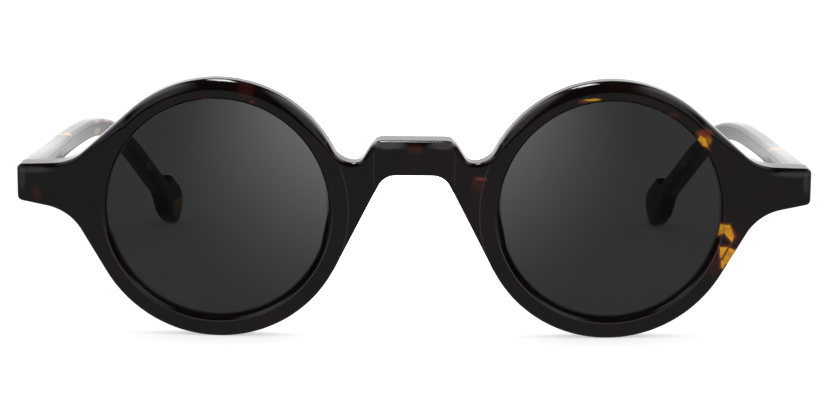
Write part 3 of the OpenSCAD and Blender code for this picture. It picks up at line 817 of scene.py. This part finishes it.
# The flecks that the photograph shows on the temples, as middle, radius and colour. Those on the
# inner face are seen from its end, so each is drawn out along the arm.
BLUSH = (0.50, 0.26, 0.15)
TEMPLE_FLECKS = [
    ((-63.4, 12.0, 29.0), 0.9, BLUSH), ((-63.2, 10.5, 26.9), 0.9, BLUSH), ((-62.2, 19.5, 28.2), 0.7, BLUSH),
    ((-51.0, 64.3, 4.6), 1.7, HONEY), ((-51.7, 62.2, 2.8), 1.0, AMBER), ((-56.0, 47.4, 15.0), 1.2, AMBER),
    ((57.4, 41.5, 18.2), 1.4, RUST), ((56.6, 44.5, 16.6), 1.0, AMBER),
]
FLECK_SQUEEZE = (1, 0.2, 1)


def temple_marks(tree, place, chipped, colour):
    """Soft flecks round given points"""
    here = vector_of(tree, "MULTIPLY", chipped, FLECK_SQUEEZE)
    for middle, radius, tint in TEMPLE_FLECKS:
        middle = tuple(a * b for a, b in zip(middle, FLECK_SQUEEZE))
        away = number_of(tree, "DISTANCE", here, middle)
        colour = mixed(tree, ramp(tree, away, radius, radius / 3, 0.0, 0.75), colour, tint)
    return colour


temple_acetate = acetate("temple_acetate", 0.10, temple_marks)
arm_mesh = grown("arm", temple_tree(), temple_acetate)
root = Vector((FRONT_WIDTH / 2 - TEMPLE_INSET - TEMPLE_SIZES["Root thickness"] / 2,
               HINGE.y - HINGE_SETBACK - ROOT_LEAD, HINGE.z))
arm_mesh.transform(Matrix.Translation(root))
# The arm's front end is cut to lie flat behind the end piece
end_plane = (rim_to_row(1) @ Matrix.Scale(MM, 4)).inverted()
for vertex in arm_mesh.vertices:
    depth = (end_plane @ (vertex.co * MM)).y
    short = END_DEPTH + JOINT_GAP - depth
    if short > 0:
        vertex.co.y += short / (end_plane.to_3x3() @ Vector((0, MM, 0))).y
# The sweep's faces look inwards, and a mirror turns them outwards
for name, side in SIDES:
    mesh = arm_mesh.copy()
    mesh.transform(Matrix.Scale(side, 4, (1, 0, 0)) @ Matrix.Scale(MM, 4))
    if side > 0:
        mesh.flip_normals()
    dress("arm_" + name, mesh, "acetate", "temple_arm_" + name, "temple_" + name)


# The hinges are nickel silver: a leaf with three barrels in each end piece and one with two
# barrels in each temple, turning on a slotted steel screw. A drawn wire stiffens each temple.
# They are the CAD's own pieces, and only their metals are set here.
def brushed(name, colour, roughness, grain):
    """Metal with fine lines along the axis whose grain is the least"""
    material, tree, shader = new_material(name)
    place = put(tree, "ShaderNodeTexCoord").outputs["Object"]
    lines = noise(tree, vector_of(tree, "MULTIPLY", place, grain), 1.0, 4.0)
    dull = tuple(c * 0.7 for c in colour)
    tree.links.new(mixed(tree, ramp(tree, lines, 0.3, 0.7), dull, colour), shader.inputs["Base Color"])
    tree.links.new(ramp(tree, lines, 0.3, 0.7, roughness + 0.12, roughness), shader.inputs["Roughness"])
    shader.inputs["Metallic"].default_value = 1.0
    return material


hinge_metal = brushed("nickel_silver", (0.72, 0.72, 0.73), 0.22, (400, 6000, 6000))
screw_metal = brushed("screw_steel", (0.66, 0.67, 0.69), 0.18, (4000, 4000, 500))
wire_metal = brushed("core_wire", (0.55, 0.56, 0.58), 0.3, (6000, 300, 6000))
for side in ("left", "right"):
    for name, metal in (("hinge_front_leaf_", hinge_metal), ("hinge_temple_leaf_", hinge_metal),
                        ("hinge_screw_", screw_metal), ("temple_core_", wire_metal)):
        mesh = frame["nodes"][name + side].data
        mesh.materials.clear()
        mesh.materials.append(metal)


# The set is a white table that runs up into a white room, with one broad soft light overhead and
# a narrow one behind that shows only in the polish.
# The table keeps the soft shadow under the rims and the temple tips.
ROOM_LIGHT = 0.75
DARKEST_REFLECTION = 0.02
TABLE_HALF = 3.0
TABLE_TONE = (0.8, 0.8, 0.8, 1)
TABLE_LIFT = 0.55
# A painted pool of light on the table: its middle, its half sizes and the glow it adds
POOL_MIDDLE = (-0.004, 0.393, 0)
POOL_HALF = (0.070, 0.483)
PAINTED_POOL_GLOW = 8.4


def seen_directly(tree, path):
    """One for a ray that comes straight from the camera or through a lens, and nothing for others"""
    return sum_of(tree, "MAXIMUM", path["Is Camera Ray"], path["Is Transmission Ray"])


def stage_world():
    """A white room that lights evenly, and that the polish reflects as dark with a bright wall low
    behind and a bright panel on each side"""
    world = bpy.data.worlds.new("white_room")
    bpy.context.scene.world = world
    world.use_nodes = True
    tree = world.node_tree
    tree.nodes.clear()
    path = put(tree, "ShaderNodeLightPath").outputs
    way = put(tree, "ShaderNodeTexCoord").outputs["Generated"]
    way = put(tree, "ShaderNodeSeparateXYZ", {"Vector": way}).outputs
    # What the polish reflects, by the direction in which the reflected ray leaves
    across = sum_of(tree, "ABSOLUTE", way["X"])
    behind = product(tree, ramp(tree, way["Y"], 0.0, 0.35), ramp(tree, way["Z"], 0.50, 0.34), 1.4)
    aside = product(tree, ramp(tree, across, 0.28, 0.50), ramp(tree, across, 0.85, 0.70),
                    ramp(tree, way["Z"], 0.16, 0.32), ramp(tree, way["Y"], -0.5, 0.4, 0.6, 1.5))
    glossy = sum_of(tree, "MAXIMUM", sum_of(tree, "MAXIMUM", behind, aside), DARKEST_REFLECTION)
    direct = seen_directly(tree, path)
    plain = {"Factor": path["Is Glossy Ray"], "A": ROOM_LIGHT, "B": glossy}
    plain = put(tree, "ShaderNodeMix", plain).outputs[0]
    strength = put(tree, "ShaderNodeMix", {"Factor": direct, "A": plain, "B": 1.0}).outputs[0]
    background = put(tree, "ShaderNodeBackground", {"Color": (1, 1, 1, 1), "Strength": strength})
    output = tree.nodes.new("ShaderNodeOutputWorld")
    tree.links.new(background.outputs[0], output.inputs["Surface"])


def stage_floor():
    """A white table, lifted to pure white round the sunglasses by an even lift and a painted pool of light
    """
    mesh = bpy.data.meshes.new("table")
    corners = [(x * TABLE_HALF, y * TABLE_HALF, 0) for x, y in ((-1, -1), (1, -1), (1, 1), (-1, 1))]
    mesh.from_pydata(corners, [], [(0, 1, 2, 3)])
    floor = bpy.data.objects.new("table", mesh)
    bpy.context.scene.collection.objects.link(floor)
    material = bpy.data.materials.new("white_table")
    material.use_nodes = True
    tree = material.node_tree
    tree.nodes.clear()
    path = put(tree, "ShaderNodeLightPath").outputs
    place = put(tree, "ShaderNodeTexCoord").outputs["Object"]
    # Painted light: a pool of glow, brightest at its middle, lifts the table further where it is seen
    # directly
    away = vector_of(tree, "SUBTRACT", place, POOL_MIDDLE)
    away = vector_of(tree, "MULTIPLY", away, (1 / POOL_HALF[0], 1 / POOL_HALF[1], 0))
    painted_pool = ramp(tree, number_of(tree, "LENGTH", away), 1.0, 0.0, 0.0, PAINTED_POOL_GLOW)
    # Painted light in reflections: the polish sees the table glow bright behind the front and grey before
    # it
    near = put(tree, "ShaderNodeSeparateXYZ", {"Vector": place}).outputs["Y"]
    mirror = ramp(tree, near, -0.050, -0.020, 0.28, 1.0)
    diffuse = put(tree, "ShaderNodeBsdfDiffuse", {"Color": TABLE_TONE})
    lift = put(tree, "ShaderNodeEmission", {"Strength": sum_of(tree, "ADD", TABLE_LIFT, painted_pool)})
    lifted = put(tree, "ShaderNodeAddShader", {0: diffuse.outputs[0], 1: lift.outputs[0]})
    mirrored = put(tree, "ShaderNodeEmission", {"Strength": mirror})
    direct = seen_directly(tree, path)
    shown = put(tree, "ShaderNodeMixShader",
                {0: path["Is Glossy Ray"], 1: diffuse.outputs[0], 2: mirrored.outputs[0]})
    shown = put(tree, "ShaderNodeMixShader", {0: direct, 1: shown.outputs[0], 2: lifted.outputs[0]})
    output = tree.nodes.new("ShaderNodeOutputMaterial")
    tree.links.new(shown.outputs[0], output.inputs["Surface"])
    mesh.materials.append(material)


def softbox(name, place, target, width, height, radiance, mirrored):
    """A soft light that aims at a point. A mirrored one shows only in reflections, and another
    one never does."""
    data = bpy.data.lights.new(name, "AREA")
    data.shape = "RECTANGLE"
    data.size, data.size_y = width, height
    data.energy = radiance * pi * width * height
    light = bpy.data.objects.new(name, data)
    light.location = place
    light.visible_glossy = mirrored
    light.visible_diffuse = not mirrored
    light.rotation_euler = (Vector(target) - Vector(place)).to_track_quat("-Z", "Y").to_euler()
    bpy.context.scene.collection.objects.link(light)


stage_world()
stage_floor()
softbox("overhead", (0, -0.05, 0.75), (0, -0.05, 0), 0.55, 0.30, 1.6, False)
softbox("spark", (-0.067, 0.26, 0.68), (0, -0.07, 0.03), 0.126, 0.32, 13.0, True)

bpy.context.scene.view_settings.view_transform = "Standard"
